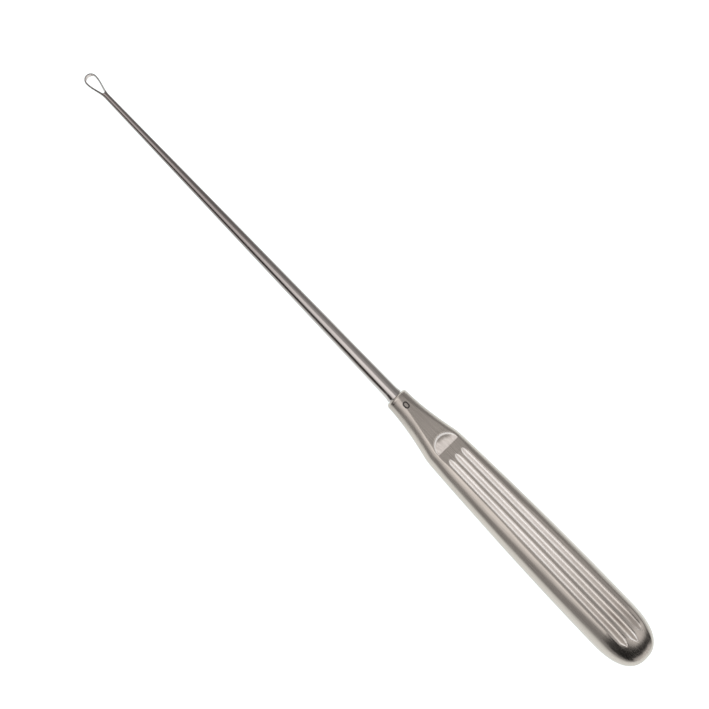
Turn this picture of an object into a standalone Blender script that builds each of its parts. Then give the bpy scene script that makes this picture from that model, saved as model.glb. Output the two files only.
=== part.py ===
"""Cervical curette: a small sharp loop on the end of a tapered round shaft, held in a hollow fluted handle.

The tool is modelled along its own axis. Its x runs from the round butt of the handle to the tip of the loop,
its y runs across the handle, and its z is square to the fluted faces. An empty then lays the whole tool down
on z = 0, where it rests on the rear of its lower face and on the front of its shaft. Units are metres.
"""

import math

import bmesh
import bpy
from mathutils import Matrix

# Overall
OVERALL_LENGTH = 0.290
HANDLE_LENGTH = 0.130
SEAT_GAP = 0.0003

# Handle, outside
COLLAR_DIAMETER = 0.0088
COLLAR_EDGE_RADIUS = 0.0012
NECK_LENGTH = 0.024
SHOULDER_WIDTH = 0.0160
SHOULDER_ROUNDING = 0.0003
GRIP_WIDTH = 0.0207
WIDEST_BEFORE_BUTT = 0.025
SIDE_CURVE = 1.8
FRONT_THICKNESS = 0.0092
REAR_THICKNESS = 0.0146
CREASE_RADIUS = 0.0012
BUTT_LENGTH = 0.0176
BUTT_FULLNESS = 2.5

# Handle, thumb rest and flutes, which are the same on both faces
THUMB_REST_SETBACK = 0.0016
THUMB_REST_DEPTH = 0.0010
THUMB_REST_MARGIN = 0.00015
PLAIN_PATCH_LENGTH = 0.0038
FLUTE_COUNT = 3
FLUTE_END_MARGIN = 0.0070
FLUTE_END_STEP = 0.0016
FLUTE_RUN_IN = 0.0045
FLUTE_RUN_OUT = 0.0045
FLUTE_SPACING_FRONT = 0.00322
FLUTE_SPACING_REAR = 0.00398
FLUTE_WIDTH_FRONT = 0.0021
FLUTE_WIDTH_REAR = 0.0026
FLUTE_DEPTH = 0.0005
FLUTE_FLOOR_ROUNDING = 0.00015
FLUTED_FACE_DISH = 0.00005
OUTER_LAND = 0.00108
RECESS_WALL_LEAN = 0.00055

# Handle, inside
WALL = 0.0008
SIDE_WALL = 0.0010
BORE_DEPTH = 0.0184
HOLLOW_RUN_IN = 0.008

# Shaft and loop
SHAFT_ROOT_DIAMETER = 0.0055
SHAFT_TIP_DIAMETER = 0.0020
TANG_DIAMETER = 0.0054
BRAZE_LENGTH = 0.0025
BRAZE_WIDTH = 0.0004
LOOP_WIDTH = 0.0050
LOOP_LENGTH = 0.0109
LOOP_THICKNESS = 0.0016
LOOP_STRIP = 0.00048
LOOP_TIP_LAND = 0.0012
LOOP_HOLE_END = 0.0018

# How finely the curves are drawn
SIDE_STEPS = 7
EDGE_STEPS = 4
DOME_STEPS = 12
NECK_STEP = 0.0028
GRIP_STEP = 0.0075
HOLLOW_STEPS = 5
SHAFT_SIDES = 32
LOOP_STEPS = 9
HOLE_END_STEPS = 5
REST_SIDES = 48
PROFILE_STEPS = 60
SHARP_ANGLE = math.radians(24)

# How far a cutter stands out of the surface that it cuts
CUTTER_MARGIN = 0.0006

# Shares of a run at which its section is drawn: a flute's two ends, and the braze at the handle
FLUTE_NEAR_SHARES = (0.002, 0.02, 0.07, 0.17, 0.35, 0.6, 1)
FLUTE_FAR_SHARES = (0.02, 0.1, 0.22, 0.4, 0.65, 1)
BRAZE_SHARES = (0, 0.35, 0.65, 0.85, 1)

# Worked out from the sizes above
COLLAR_X = HANDLE_LENGTH - OVERALL_LENGTH / 2
TIP_X = OVERALL_LENGTH / 2
DOME_START = HANDLE_LENGTH - BUTT_LENGTH
WIDEST_AT = HANDLE_LENGTH - WIDEST_BEFORE_BUTT
THUMB_REST_EDGE = NECK_LENGTH + THUMB_REST_SETBACK
FLUTE_START = THUMB_REST_EDGE + PLAIN_PATCH_LENGTH
FLUTE_END = HANDLE_LENGTH - FLUTE_END_MARGIN
BALANCE_POINT = HANDLE_LENGTH / 4


def lerp(start, end, share):
    return start + (end - start) * share


def soft_min(a, b, rounding):
    """The smaller of two values, with the corner between them rounded."""
    return (a + b - math.hypot(a - b, rounding)) / 2


def ease(share):
    return (1 - math.cos(math.pi * min(max(share, 0), 1))) / 2


# The handle's form along its length, where u is the distance behind the front of its collar


def face_height(u):
    """Height of the fluted face above the axis, on the plane that rises towards the butt."""
    rise = (REAR_THICKNESS - FRONT_THICKNESS) / 2 / (DOME_START - THUMB_REST_EDGE)
    return FRONT_THICKNESS / 2 + (u - THUMB_REST_EDGE) * rise


def dome_share(u):
    """How much of its full section the handle keeps at u: all of it, up to the round butt."""
    along = min(max(u - DOME_START, 0) / BUTT_LENGTH, 1)
    return (1 - along**BUTT_FULLNESS) ** (1 / BUTT_FULLNESS)


def flute_spacing(u):
    return lerp(FLUTE_SPACING_FRONT, FLUTE_SPACING_REAR, (u - FLUTE_START) / (DOME_START - FLUTE_START))


def flute_width(u):
    return lerp(FLUTE_WIDTH_FRONT, FLUTE_WIDTH_REAR, (u - FLUTE_START) / (DOME_START - FLUTE_START))


def fluted_flat(u):
    """Half the width of the flat that the flutes and their outer lands take."""
    return (FLUTE_COUNT - 1) / 2 * flute_spacing(u) + flute_width(u) / 2 + OUTER_LAND


def facet(radius):
    """Half the width of one facet of a round section, which stands in for its flat."""
    return radius * math.pi / 8 / SIDE_STEPS


def body_section(u):
    """Half width, half thickness and half flat of the handle, without the rounding of its two ends."""
    collar = COLLAR_DIAMETER / 2
    neck = lerp(collar, SHOULDER_WIDTH / 2, (u / NECK_LENGTH) ** SIDE_CURVE)
    ahead = 1 - min((u - NECK_LENGTH) / (WIDEST_AT - NECK_LENGTH), 1)
    grip = lerp(GRIP_WIDTH / 2, SHOULDER_WIDTH / 2, ahead**SIDE_CURVE)
    neck_flat = lerp(facet(collar), fluted_flat(THUMB_REST_EDGE), u / THUMB_REST_EDGE)
    return (
        soft_min(neck, grip, SHOULDER_ROUNDING),
        max(collar, face_height(u)),
        soft_min(neck_flat, fluted_flat(u), SHOULDER_ROUNDING),
    )


def face_dish(u):
    """How far the middle of a fluted face lies below its edges, where pressing the flutes drew it in."""
    return FLUTED_FACE_DISH * min(max((u - FLUTE_START) / FLUTE_RUN_IN, 0), 1)


def section_ring(x, half_width, half_thickness, half_flat, dish=0):
    """One ring of the handle: flat or dished faces, round sides, and a rounded crease where they meet."""
    overhang = half_width - half_flat
    radius = (overhang**2 + half_thickness**2) / (2 * overhang)
    centre = half_width - radius
    crease = math.asin(min((half_flat - centre) / radius, 1))
    reach = min(CREASE_RADIUS * math.tan(crease / 2), half_flat / 2)
    angles = [lerp(crease + reach / radius, math.pi / 2, step / SIDE_STEPS) for step in range(SIDE_STEPS + 1)]
    side = [(centre + radius * math.sin(a), radius * math.cos(a)) for a in angles]
    rounded = (half_flat + (side[0][0] - half_flat - reach) / 3, (2 * half_thickness + side[0][1]) / 3)
    upper = [(half_flat - reach, half_thickness), rounded, *side]
    right = upper + [(y, -z) for y, z in reversed(upper[:-1])]
    middle = half_thickness - dish
    whole = right + [(0, -middle)] + [(-y, z) for y, z in reversed(right)] + [(0, middle)]
    return [(x, y, z) for y, z in whole]


def end_shares(fullness, steps):
    """Distances along a round end, and the share of its full size that is left there."""
    for step in range(1, steps):
        angle = math.pi / 2 * step / steps
        yield math.sin(angle) ** (2 / fullness), math.cos(angle) ** (2 / fullness)


def loft(name, rings, start_pole=None, end_pole=None):
    """A closed skin through rings of points, each end closed by a pole or by a flat face."""
    mesh = bpy.data.meshes.new(name)
    form = bmesh.new()
    rows = [[form.verts.new(point) for point in ring] for ring in rings]
    for row, following in zip(rows, rows[1:]):
        for a, b, c, d in zip(row, row[1:] + row[:1], following[1:] + following[:1], following):
            form.faces.new((a, b, c, d))
    for row, pole in ((rows[0], start_pole), (rows[-1], end_pole)):
        if pole is None:
            form.faces.new(row)
            continue
        tip = form.verts.new(pole)
        for a, b in zip(row, row[1:] + row[:1]):
            form.faces.new((a, b, tip))
    bmesh.ops.recalc_face_normals(form, faces=form.faces)
    form.to_mesh(mesh)
    form.free()
    return mesh


# The handle and what is cut from it


def collar_rings():
    """The rounded front edge of the collar."""
    for step in range(EDGE_STEPS):
        angle = math.pi / 2 * step / EDGE_STEPS
        u = COLLAR_EDGE_RADIUS * (1 - math.cos(angle))
        inset = COLLAR_EDGE_RADIUS * (1 - math.sin(angle))
        half_width, half_thickness, half_flat = body_section(u)
        yield section_ring(COLLAR_X - u, half_width - inset, half_thickness - inset, half_flat)


def grip_rings():
    """Closely spaced round the neck and its shoulder, and further apart along the grip."""
    for start, end, spacing in (
        (COLLAR_EDGE_RADIUS, FLUTE_START, NECK_STEP),
        (FLUTE_START, DOME_START, GRIP_STEP),
    ):
        steps = math.ceil((end - start) / spacing)
        for step in range(steps):
            u = lerp(start, end, step / steps)
            yield section_ring(COLLAR_X - u, *body_section(u), face_dish(u))
    yield section_ring(COLLAR_X - DOME_START, *body_section(DOME_START), FLUTED_FACE_DISH)


def butt_rings():
    section = (*body_section(DOME_START), FLUTED_FACE_DISH)
    for along, share in end_shares(BUTT_FULLNESS, DOME_STEPS):
        u = DOME_START + BUTT_LENGTH * along
        yield section_ring(COLLAR_X - u, *(size * share for size in section))


def handle_mesh():
    rings = [*collar_rings(), *grip_rings(), *butt_rings()]
    return loft("hollow_handle", rings, end_pole=(COLLAR_X - HANDLE_LENGTH, 0, 0))


def hollow_section(u):
    """The inside of the handle, a wall's thickness under the deepest recess."""
    half_width, half_thickness, half_flat = body_section(u)
    under = WALL + max(FLUTE_DEPTH, THUMB_REST_DEPTH)
    return half_width - SIDE_WALL, half_thickness - under, half_flat - WALL


def hollow_mesh():
    """The bore that takes the tang, opening into the hollow of the grip."""
    bore = TANG_DIAMETER / 2 + SEAT_GAP
    bore_section = (bore, bore, facet(bore))
    rings = [section_ring(COLLAR_X - u, *bore_section) for u in (-CUTTER_MARGIN, BORE_DEPTH / 2, BORE_DEPTH)]
    for step in range(1, HOLLOW_STEPS + 1):
        share = step / HOLLOW_STEPS
        u = BORE_DEPTH + HOLLOW_RUN_IN * share
        opened = zip(bore_section, hollow_section(u))
        rings.append(section_ring(COLLAR_X - u, *(lerp(a, b, ease(share)) for a, b in opened)))
    grip_start = BORE_DEPTH + HOLLOW_RUN_IN
    steps = math.ceil((DOME_START - grip_start) / (2 * GRIP_STEP))
    for step in range(1, steps + 1):
        u = lerp(grip_start, DOME_START, step / steps)
        rings.append(section_ring(COLLAR_X - u, *hollow_section(u)))
    length = BUTT_LENGTH - 2 * WALL
    for along, share in end_shares(BUTT_FULLNESS, DOME_STEPS // 2):
        u = DOME_START + length * along
        rings.append(section_ring(COLLAR_X - u, *(size * share for size in hollow_section(DOME_START))))
    return loft("handle_hollow", rings, end_pole=(COLLAR_X - DOME_START - length, 0, 0))


def flute_ring(u, lane, share):
    """Cross-section of a flute: leaning walls, a flat floor, and a top that stands clear of the face."""
    surface = face_height(min(u, DOME_START)) * dome_share(u)
    edge = flute_width(u) / 2 * share
    floor = surface - FLUTE_DEPTH * share
    foot = edge - RECESS_WALL_LEAN * share
    rounding = FLUTE_FLOOR_ROUNDING * share
    half = [
        (edge + RECESS_WALL_LEAN * CUTTER_MARGIN / FLUTE_DEPTH, surface + CUTTER_MARGIN),
        (foot, floor + rounding),
        (foot - rounding, floor),
    ]
    outline = half + [(-y, z) for y, z in reversed(half)]
    centre = flute_spacing(u) * lane
    return [(COLLAR_X - u, centre + y, z) for y, z in outline]


def flute_mesh(lane):
    """A flute that opens from a round end by the thumb rest, and runs out to a point on the round butt."""
    end = FLUTE_END - FLUTE_END_STEP * abs(lane)
    opening = [(p, math.sqrt(1 - (1 - p) ** 2)) for p in FLUTE_NEAR_SHARES]
    closing = [(p, 1 - (1 - p) ** 2) for p in FLUTE_FAR_SHARES]
    rings = [flute_ring(FLUTE_START + FLUTE_RUN_IN * p, lane, share) for p, share in opening]
    run_out_start = end - FLUTE_RUN_OUT
    if run_out_start > DOME_START:
        rings.append(flute_ring(DOME_START, lane, 1))
        rings.append(flute_ring((DOME_START + run_out_start) / 2, lane, 1))
    rings += [flute_ring(end - FLUTE_RUN_OUT * p, lane, share) for p, share in reversed(closing)]
    return loft("flute", rings)


def thumb_rest_mesh():
    """A half-round hollow, level with the face at its straight edge and deepest at its round wall."""
    radius = fluted_flat(THUMB_REST_EDGE) - THUMB_REST_MARGIN
    lean = RECESS_WALL_LEAN / THUMB_REST_DEPTH
    above = CUTTER_MARGIN
    below = THUMB_REST_DEPTH + CUTTER_MARGIN
    form = bmesh.new()
    bmesh.ops.create_cone(
        form,
        cap_ends=True,
        segments=REST_SIDES,
        radius1=radius - lean * below,
        radius2=radius + lean * above,
        depth=above + below,
        matrix=Matrix.Translation((0, 0, (above - below) / 2)),
    )
    floor = bmesh.ops.bisect_plane(
        form,
        geom=[*form.verts, *form.edges, *form.faces],
        plane_co=(0, 0, 0),
        plane_no=(-THUMB_REST_DEPTH, 0, -radius),
        clear_outer=True,
    )
    rim = [item for item in floor["geom_cut"] if isinstance(item, bmesh.types.BMEdge)]
    bmesh.ops.contextual_create(form, geom=rim)
    bmesh.ops.recalc_face_normals(form, faces=form.faces)
    mesh = bpy.data.meshes.new("thumb_rest")
    form.to_mesh(mesh)
    form.free()
    return mesh


# The shaft and the loop, where d is the distance behind the tip of the loop


def loop_half_width(d):
    """The loop's outline: round at the tip, then drawn in smoothly to the shaft."""
    radius = LOOP_WIDTH / 2
    if d < radius:
        return math.sqrt(radius**2 - (radius - d) ** 2)
    return lerp(radius, SHAFT_TIP_DIAMETER / 2, ease((d - radius) / (LOOP_LENGTH - radius)))


def loop_half_thickness(d):
    radius = LOOP_WIDTH / 2
    if d < radius:
        return LOOP_THICKNESS / 2 * math.sqrt(1 - (1 - d / radius) ** 2)
    return lerp(LOOP_THICKNESS / 2, SHAFT_TIP_DIAMETER / 2, ease((d - radius) / (LOOP_LENGTH - radius)))


def oval_ring(x, half_width, half_thickness):
    angles = [2 * math.pi * step / SHAFT_SIDES for step in range(SHAFT_SIDES)]
    return [(x, half_width * math.cos(a), half_thickness * math.sin(a)) for a in angles]


def loop_stations():
    radius = LOOP_WIDTH / 2
    for step in range(1, LOOP_STEPS):
        yield radius * (1 - math.cos(math.pi / 2 * step / LOOP_STEPS))
    for step in range(LOOP_STEPS + 1):
        yield lerp(radius, LOOP_LENGTH, step / LOOP_STEPS)


def shaft_mesh():
    """The loop's blank, the taper, the braze at the handle, and the tang that goes into it."""
    rings = [oval_ring(TIP_X - d, loop_half_width(d), loop_half_thickness(d)) for d in loop_stations()]
    root_radius = SHAFT_ROOT_DIAMETER / 2
    shoulder_x = COLLAR_X + SEAT_GAP
    for share in BRAZE_SHARES:
        radius = root_radius + BRAZE_WIDTH * (1 - math.cos(math.pi / 2 * share))
        rings.append(oval_ring(shoulder_x + BRAZE_LENGTH * (1 - share), radius, radius))
    tang_radius = TANG_DIAMETER / 2
    tang_end = COLLAR_X - BORE_DEPTH + SEAT_GAP
    rings.append(oval_ring(shoulder_x, tang_radius, tang_radius))
    rings.append(oval_ring(tang_end, tang_radius, tang_radius))
    return loft("loop_shaft", rings, start_pole=(TIP_X, 0, 0))


def hole_outline(tip_land):
    """Outline of the loop's hole: the loop's own, drawn in by the strip, with a round end at the shaft."""
    radius = LOOP_WIDTH / 2
    end = LOOP_LENGTH - LOOP_HOLE_END
    rounding = loop_half_width(end) - LOOP_STRIP
    last = end - rounding
    half = []
    for step in range(LOOP_STEPS):
        angle = math.pi / 2 * step / LOOP_STEPS
        half.append((radius - (radius - tip_land) * math.cos(angle), (radius - LOOP_STRIP) * math.sin(angle)))
    for step in range(LOOP_STEPS):
        d = lerp(radius, last, step / LOOP_STEPS)
        half.append((d, loop_half_width(d) - LOOP_STRIP))
    side = loop_half_width(last) - LOOP_STRIP
    for step in range(HOLE_END_STEPS + 1):
        angle = math.pi / 2 * step / HOLE_END_STEPS
        half.append((last + rounding * math.sin(angle), side * math.cos(angle)))
    return half[:-1] + [(half[-1][0], 0)] + [(d, -y) for d, y in reversed(half[1:-1])]


def hole_mesh():
    """The loop's hole, whose wall leans in at the tip to leave a ground edge there."""
    reach = LOOP_THICKNESS
    lean = LOOP_THICKNESS / 4
    levels = ((-reach, LOOP_TIP_LAND), (-lean, LOOP_TIP_LAND), (lean, LOOP_STRIP), (reach, LOOP_STRIP))
    rings = [[(TIP_X - d, y, z) for d, y in hole_outline(land)] for z, land in levels]
    return loft("loop_hole", rings)


# How the tool lies


def lower_profile():
    """Points along the underside of the tool, as x and the height below the axis."""
    for step in range(PROFILE_STEPS + 1):
        u = DOME_START * step / PROFILE_STEPS
        yield COLLAR_X - u, -body_section(u)[1]
    for d in loop_stations():
        yield TIP_X - d, -loop_half_thickness(d)


def resting_matrix():
    """Turns and lifts the tool so that it stands on the two points of its underside that carry its weight."""
    balance_x = COLLAR_X - BALANCE_POINT
    points = list(lower_profile())
    rear = [point for point in points if point[0] < balance_x]
    front = [point for point in points if point[0] > balance_x]
    pairs = [(a, b) for a in rear for b in front]

    def height_under_balance(pair):
        (rear_x, rear_z), (front_x, front_z) = pair
        return lerp(rear_z, front_z, (balance_x - rear_x) / (front_x - rear_x))

    (rear_x, rear_z), (front_x, front_z) = min(pairs, key=height_under_balance)
    tilt = math.atan2(front_z - rear_z, front_x - rear_x)
    turn = Matrix.Rotation(tilt, 4, "Y")
    return Matrix.Translation((0, 0, rear_x * math.sin(tilt) - rear_z * math.cos(tilt))) @ turn


# The scene


def collection(name):
    made = bpy.data.collections.new(name)
    bpy.context.scene.collection.children.link(made)
    return made


def steel(name, colour, roughness):
    material = bpy.data.materials.new(name)
    material.use_nodes = True
    shader = material.node_tree.nodes["Principled BSDF"]
    shader.inputs["Base Color"].default_value = (*colour, 1)
    shader.inputs["Metallic"].default_value = 1
    shader.inputs["Roughness"].default_value = roughness
    return material


def add_part(name, mesh, material, parts, parent):
    part = bpy.data.objects.new(name, mesh)
    mesh.materials.append(material)
    mesh.shade_smooth()
    mesh.set_sharp_from_angle(angle=SHARP_ANGLE)
    parts.objects.link(part)
    part.parent = parent
    return part


def add_cutter(name, mesh, cutters, parent, turned=False):
    cutter = bpy.data.objects.new(name, mesh)
    cutters.objects.link(cutter)
    cutter.parent = parent
    cutter.hide_render = True
    cutter.display_type = "WIRE"
    if turned:
        cutter.rotation_euler.x = math.pi
    return cutter


def cut(part, cutter):
    modifier = part.modifiers.new(cutter.name, "BOOLEAN")
    modifier.operation = "DIFFERENCE"
    modifier.solver = "EXACT"
    modifier.object = cutter


def add_handle(parts, cutters, tool):
    satin_steel = steel("satin_steel", (0.60, 0.57, 0.54), 0.34)
    handle = add_part("hollow_handle", handle_mesh(), satin_steel, parts, tool)
    cut(handle, add_cutter("handle_hollow", hollow_mesh(), cutters, tool))
    flutes = [flute_mesh(number - (FLUTE_COUNT - 1) / 2) for number in range(FLUTE_COUNT)]
    for turned, face in ((False, "upper"), (True, "lower")):
        # The thumb rest is drawn on the plane of its own face, so it hangs from an empty in that plane.
        seat = bpy.data.objects.new(f"{face}_rest_seat", None)
        cutters.objects.link(seat)
        seat.parent = tool
        tilt = Matrix.Rotation(math.atan(face_height(1) - face_height(0)), 4, "Y")
        place = Matrix.Translation((COLLAR_X - THUMB_REST_EDGE, 0, face_height(THUMB_REST_EDGE))) @ tilt
        seat.matrix_local = Matrix.Rotation(math.pi if turned else 0, 4, "X") @ place
        cut(handle, add_cutter(f"{face}_thumb_rest", thumb_rest_mesh(), cutters, seat))
        for number, mesh in enumerate(flutes, 1):
            cut(handle, add_cutter(f"{face}_flute_{number}", mesh, cutters, tool, turned))
    return handle


def add_shaft(parts, cutters, tool):
    bright_steel = steel("bright_steel", (0.62, 0.59, 0.56), 0.28)
    shaft = add_part("loop_shaft", shaft_mesh(), bright_steel, parts, tool)
    cut(shaft, add_cutter("loop_hole", hole_mesh(), cutters, tool))
    return shaft


def main():
    for old in list(bpy.data.objects):
        bpy.data.objects.remove(old)
    parts = collection("cervical_curette")
    cutters = collection("cutters")
    tool = bpy.data.objects.new("tool_axis", None)
    parts.objects.link(tool)
    tool.matrix_world = resting_matrix()
    add_handle(parts, cutters, tool)
    add_shaft(parts, cutters, tool)


main()
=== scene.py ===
"""The looks of the cervical curette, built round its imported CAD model.

The handle and the shaft are made again as fine meshes, from the same overall sizes as the solids, with
some small forms a little different, to match the highlights in the photograph. They are made in the
tool's own frame: x runs from the butt of the handle to the tip of the loop, y runs across the handle,
and z is square to the fluted faces. Units are metres.
"""

import math

import bmesh
import bpy
import numpy as np
from mathutils import Matrix, Vector


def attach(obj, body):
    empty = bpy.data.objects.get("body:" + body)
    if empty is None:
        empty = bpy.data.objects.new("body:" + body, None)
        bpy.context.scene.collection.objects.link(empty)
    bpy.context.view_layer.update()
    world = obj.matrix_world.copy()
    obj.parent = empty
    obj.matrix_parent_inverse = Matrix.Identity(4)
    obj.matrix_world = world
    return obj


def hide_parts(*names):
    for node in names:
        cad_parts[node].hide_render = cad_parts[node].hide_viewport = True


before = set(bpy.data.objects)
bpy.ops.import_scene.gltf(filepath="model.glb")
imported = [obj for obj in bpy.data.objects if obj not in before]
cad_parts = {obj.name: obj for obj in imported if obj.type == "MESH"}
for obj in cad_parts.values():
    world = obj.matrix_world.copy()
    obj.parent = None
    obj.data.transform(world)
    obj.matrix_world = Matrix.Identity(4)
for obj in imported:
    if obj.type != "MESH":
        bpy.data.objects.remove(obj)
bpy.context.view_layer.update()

# Overall
OVERALL_LENGTH = 0.290
HANDLE_LENGTH = 0.130
SEAT_GAP = 0.0003

# Handle, outside. The land sizes are how much wider than in the solids the lands beside the outer flutes
# are, at the shoulder and along the grip. The crease narrows from the collar until it has settled. Round
# sections are drawn with a flat too, which is their radius over the flatness.
COLLAR_DIAMETER = 0.0088
COLLAR_EDGE_RADIUS = 0.0012
NECK_LENGTH = 0.024
SHOULDER_WIDTH = 0.0160
SHOULDER_ROUNDING = 0.0003
SHOULDER_LAND = 0.0006
SHOULDER_REACH = 0.004
GRIP_LAND = (-0.0003, 0.0002)
GRIP_LAND_RUN = (0.057, 0.072)
GRIP_WIDTH = 0.0207
WIDEST_BEFORE_BUTT = 0.025
SIDE_CURVE = 1.8
FRONT_THICKNESS = 0.0092
REAR_THICKNESS = 0.0146
ROUND_FLATNESS = 20
CREASE_RADIUS = 0.0008
CREASE_SETTLED = 0.040
NECK_CREASE_RADIUS = 0.0030
BUTT_LENGTH = 0.0176
BUTT_FULLNESS = 2.5
BUTT_CROWN = 0.20
BUTT_CROWN_FROM = 0.1105

# Handle, thumb rest and flutes, which are the same on both faces
THUMB_REST_SETBACK = 0.0016
THUMB_REST_DEPTH = 0.0010
THUMB_REST_MARGIN = 0.0003
REST_WALL_LEAN = 0.0008
REST_EDGE_SLACK = 0.00005
REST_WALL_ROOM = 0.0004
PLAIN_PATCH_LENGTH = 0.0038
FLUTE_COUNT = 3
FLUTE_END_MARGIN = 0.0070
FLUTE_END_STEP = 0.0016
FLUTE_RUN_IN = 0.0027
FLUTE_RUN_OUT = 0.0031
FLUTE_POINT = 1.3
FLUTE_OPENING = (0.02, 0.06)
FLUTE_SPACING_FRONT = 0.00322
FLUTE_SPACING_REAR = 0.00398
FLUTE_WIDTH_FRONT = 0.0021
FLUTE_WIDTH_REAR = 0.0026
FLUTE_DEPTH = 0.0005
OUTER_LAND = 0.00108
FLUTED_FACE_DISH = 0.00005
RECESS_WALL_LEAN = 0.00055
RECESS_ROUNDING = 0.25

# Handle, where its colour and finish change: pale matt floors, painted highlights on the rims, dark
# streaks, and painted shade on the floors, the rims and the lands towards the butt and on the neck's lands.
# On the -y lanes the floors and the rims' highlights fade towards the butt. A run is a stretch behind the
# front of the collar. The rims' pairs are for the -y and the +y side, and the streaks' strengths for the
# middle and the outer flutes. A faint middle line runs along the whole of each flute.
FLOOR_BLEND = (-0.2, 0.6)
RIM_HIGHLIGHT_INSIDE = (0.00046, 0.0002)
RIM_HIGHLIGHT_WIDTH = (0.0002, 0.00034)
LANE_HIGHLIGHT_FADE_RUN = (0.106, 0.118)
LANE_HIGHLIGHT_FADE_SHARE = 0.5
STREAK_FROM = 0.102
STREAK_FULL = 0.112
STREAK_TO = 0.121
STREAK_WIDTH = 0.35
STREAK_STRENGTH = (0.9, 0.45)
MIDDLE_LINE = 0.16
REST_FLOOR_BLEND = (-0.0001, 0.0001)
REST_WALL_BLEND = (-0.0002, 0.0001)
REST_RIM_HIGHLIGHT_BLEND = (-0.0002, 0.0012)
REST_FOOT = (0.0003, 0.0024)
REST_SHADE_LEAN = 0.3
REST_SHADE = (0.6, 0.95)
SHADE_RUN = (0.065, 0.120)
TIP_RUN = (0.117, 0.120)
FLAT_EDGE = (0.94, 1.04)
NECK_SHADE = 0.33
NECK_SHADE_RUN = (0.010, 0.022)

# Handle, inside
WALL = 0.0008
SIDE_WALL = 0.0010
BORE_DEPTH = 0.0184
HOLLOW_RUN_IN = 0.008
BORE_LIP = 0.00008
BORE_STRAIGHT_FROM = 0.0001

# Shaft and loop. The ground edge in the loop's tip leans over its share of the thickness above and below
# the middle, and its faces are known by how steeply their normals rise.
SHAFT_ROOT_DIAMETER = 0.0055
SHAFT_TIP_DIAMETER = 0.0020
TANG_DIAMETER = 0.0054
BRAZE_LENGTH = 0.0025
BRAZE_WIDTH = 0.0004
LOOP_WIDTH = 0.0050
LOOP_LENGTH = 0.0109
LOOP_THICKNESS = 0.0016
LOOP_STRIP = 0.00048
LOOP_TIP_LAND = 0.0012
LOOP_HOLE_END = 0.0018
GROUND_EDGE_SHARE = 0.25
GROUND_EDGE_LEAN = (0.1, 0.95)

# Worked out from the sizes above
COLLAR_X = HANDLE_LENGTH - OVERALL_LENGTH / 2
TIP_X = OVERALL_LENGTH / 2
DOME_START = HANDLE_LENGTH - BUTT_LENGTH
WIDEST_AT = HANDLE_LENGTH - WIDEST_BEFORE_BUTT
THUMB_REST_EDGE = NECK_LENGTH + THUMB_REST_SETBACK
FLUTE_START = THUMB_REST_EDGE + PLAIN_PATCH_LENGTH
FLUTE_END = HANDLE_LENGTH - FLUTE_END_MARGIN
TANG_END_REACH = TANG_DIAMETER / 20

# How finely the meshes are drawn: the lines along the handle, where those across a flute are given in half
# widths from its middle, the distances between its rings, and the numbers of rings and steps
TOP_LINES = 52
SIDE_LINES = 16
LAND_LINES = 4
FLUTE_ACROSS = (0, 0.2, 0.4, 0.55, 0.63, 0.7, 0.77, 0.84, 0.91, 0.97, 1.03, 1.12, 1.25)
SPLIT_PAST_FLAT = 1.02
SPLIT_ROUNDING = 0.001
NECK_SPACING = 0.0008
REST_SPACING = 0.0001
REST_FRONT_ROOM = 0.0003
PATCH_SPACING = 0.0003
TIP_RINGS = 34
TIP_CLOSENESS = 1.6
GRIP_SPACING = 0.0014
BUTT_SPACING = 0.00025
PAST_FLUTES = 0.0005
BUTT_RINGS = 22
EDGE_RINGS = 10
HOLLOW_RINGS = 8
TAPER_RINGS = 60
BRAZE_RINGS = 12
HOLE_END_STEPS = 12
LOOP_STEPS = 40
SHAFT_SIDES = 64
SHARP_ANGLE = math.radians(30)
SMALLEST_DIVISOR = 1e-6

# The size mark, etched on the upper side of the neck
MARK_BEHIND_COLLAR = 0.0047
MARK_Y = 0.0006
MARK_LENGTH = 0.0029
MARK_WIDTH = 0.0021
MARK_STROKE = 0.00055
MARK_BLUR = 0.00008

# Textures: how closely each is spaced along x, y and z, in cycles a metre, its detail, the range of it
# that is used, how much it adds to the roughness, and the bump that it makes
BRUSHING = (70, 2400, 2400)
BRUSHING_DETAIL = 3
BRUSHING_RANGE = (0.3, 0.7)
BRUSHING_ROUGHNESS = 0.05
GRAIN = (2600, 2600, 2600)
GRAIN_DETAIL = 1
WEAR = (60, 160, 160)
WEAR_DETAIL = 4
WEAR_RANGE = (0.35, 0.7)
WEAR_ROUGHNESS = 0.08
BUMP_HEIGHT = 0.00002
BUMP_STRENGTH = 0.25

# Colours and roughness of the finishes
LAND_DARK = (0.51, 0.455, 0.41)
LAND_PALE = (0.58, 0.52, 0.47)
SHADED_LAND = (0.37, 0.33, 0.30)
RECESS_DARK = (0.61, 0.55, 0.51)
RECESS_PALE = (0.77, 0.705, 0.66)
SHADED_RECESS = (0.40, 0.35, 0.31)
RIM_HIGHLIGHT_COLOUR = (0.95, 0.91, 0.88)
SHADED_RIM_HIGHLIGHT = (0.82, 0.75, 0.69)
STREAK_COLOUR = (0.17, 0.135, 0.115)
MARK_COLOUR = (0.02, 0.016, 0.014)
SHAFT_DARK = (0.50, 0.455, 0.435)
SHAFT_PALE = (0.565, 0.515, 0.49)
LOOP_COLOUR = (0.30, 0.26, 0.25)
LOOP_COLOUR_RUN = (-0.003, 0.090)
BEVEL_HIGHLIGHT_COLOUR = (1.0, 0.94, 0.90)
SATIN_ROUGHNESS = 0.17
NECK_ROUGHNESS = 0.24
BRIGHT_ROUGHNESS = 0.12
LOOP_ROUGHNESS = 0.20
MATT_ROUGHNESS = 0.5
MATT_METALLIC = 0.4

# The colour sockets of a Mix node, which has others for numbers and vectors
MIX_COLOURS = (6, 7)
MIX_RESULT = 2

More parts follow.
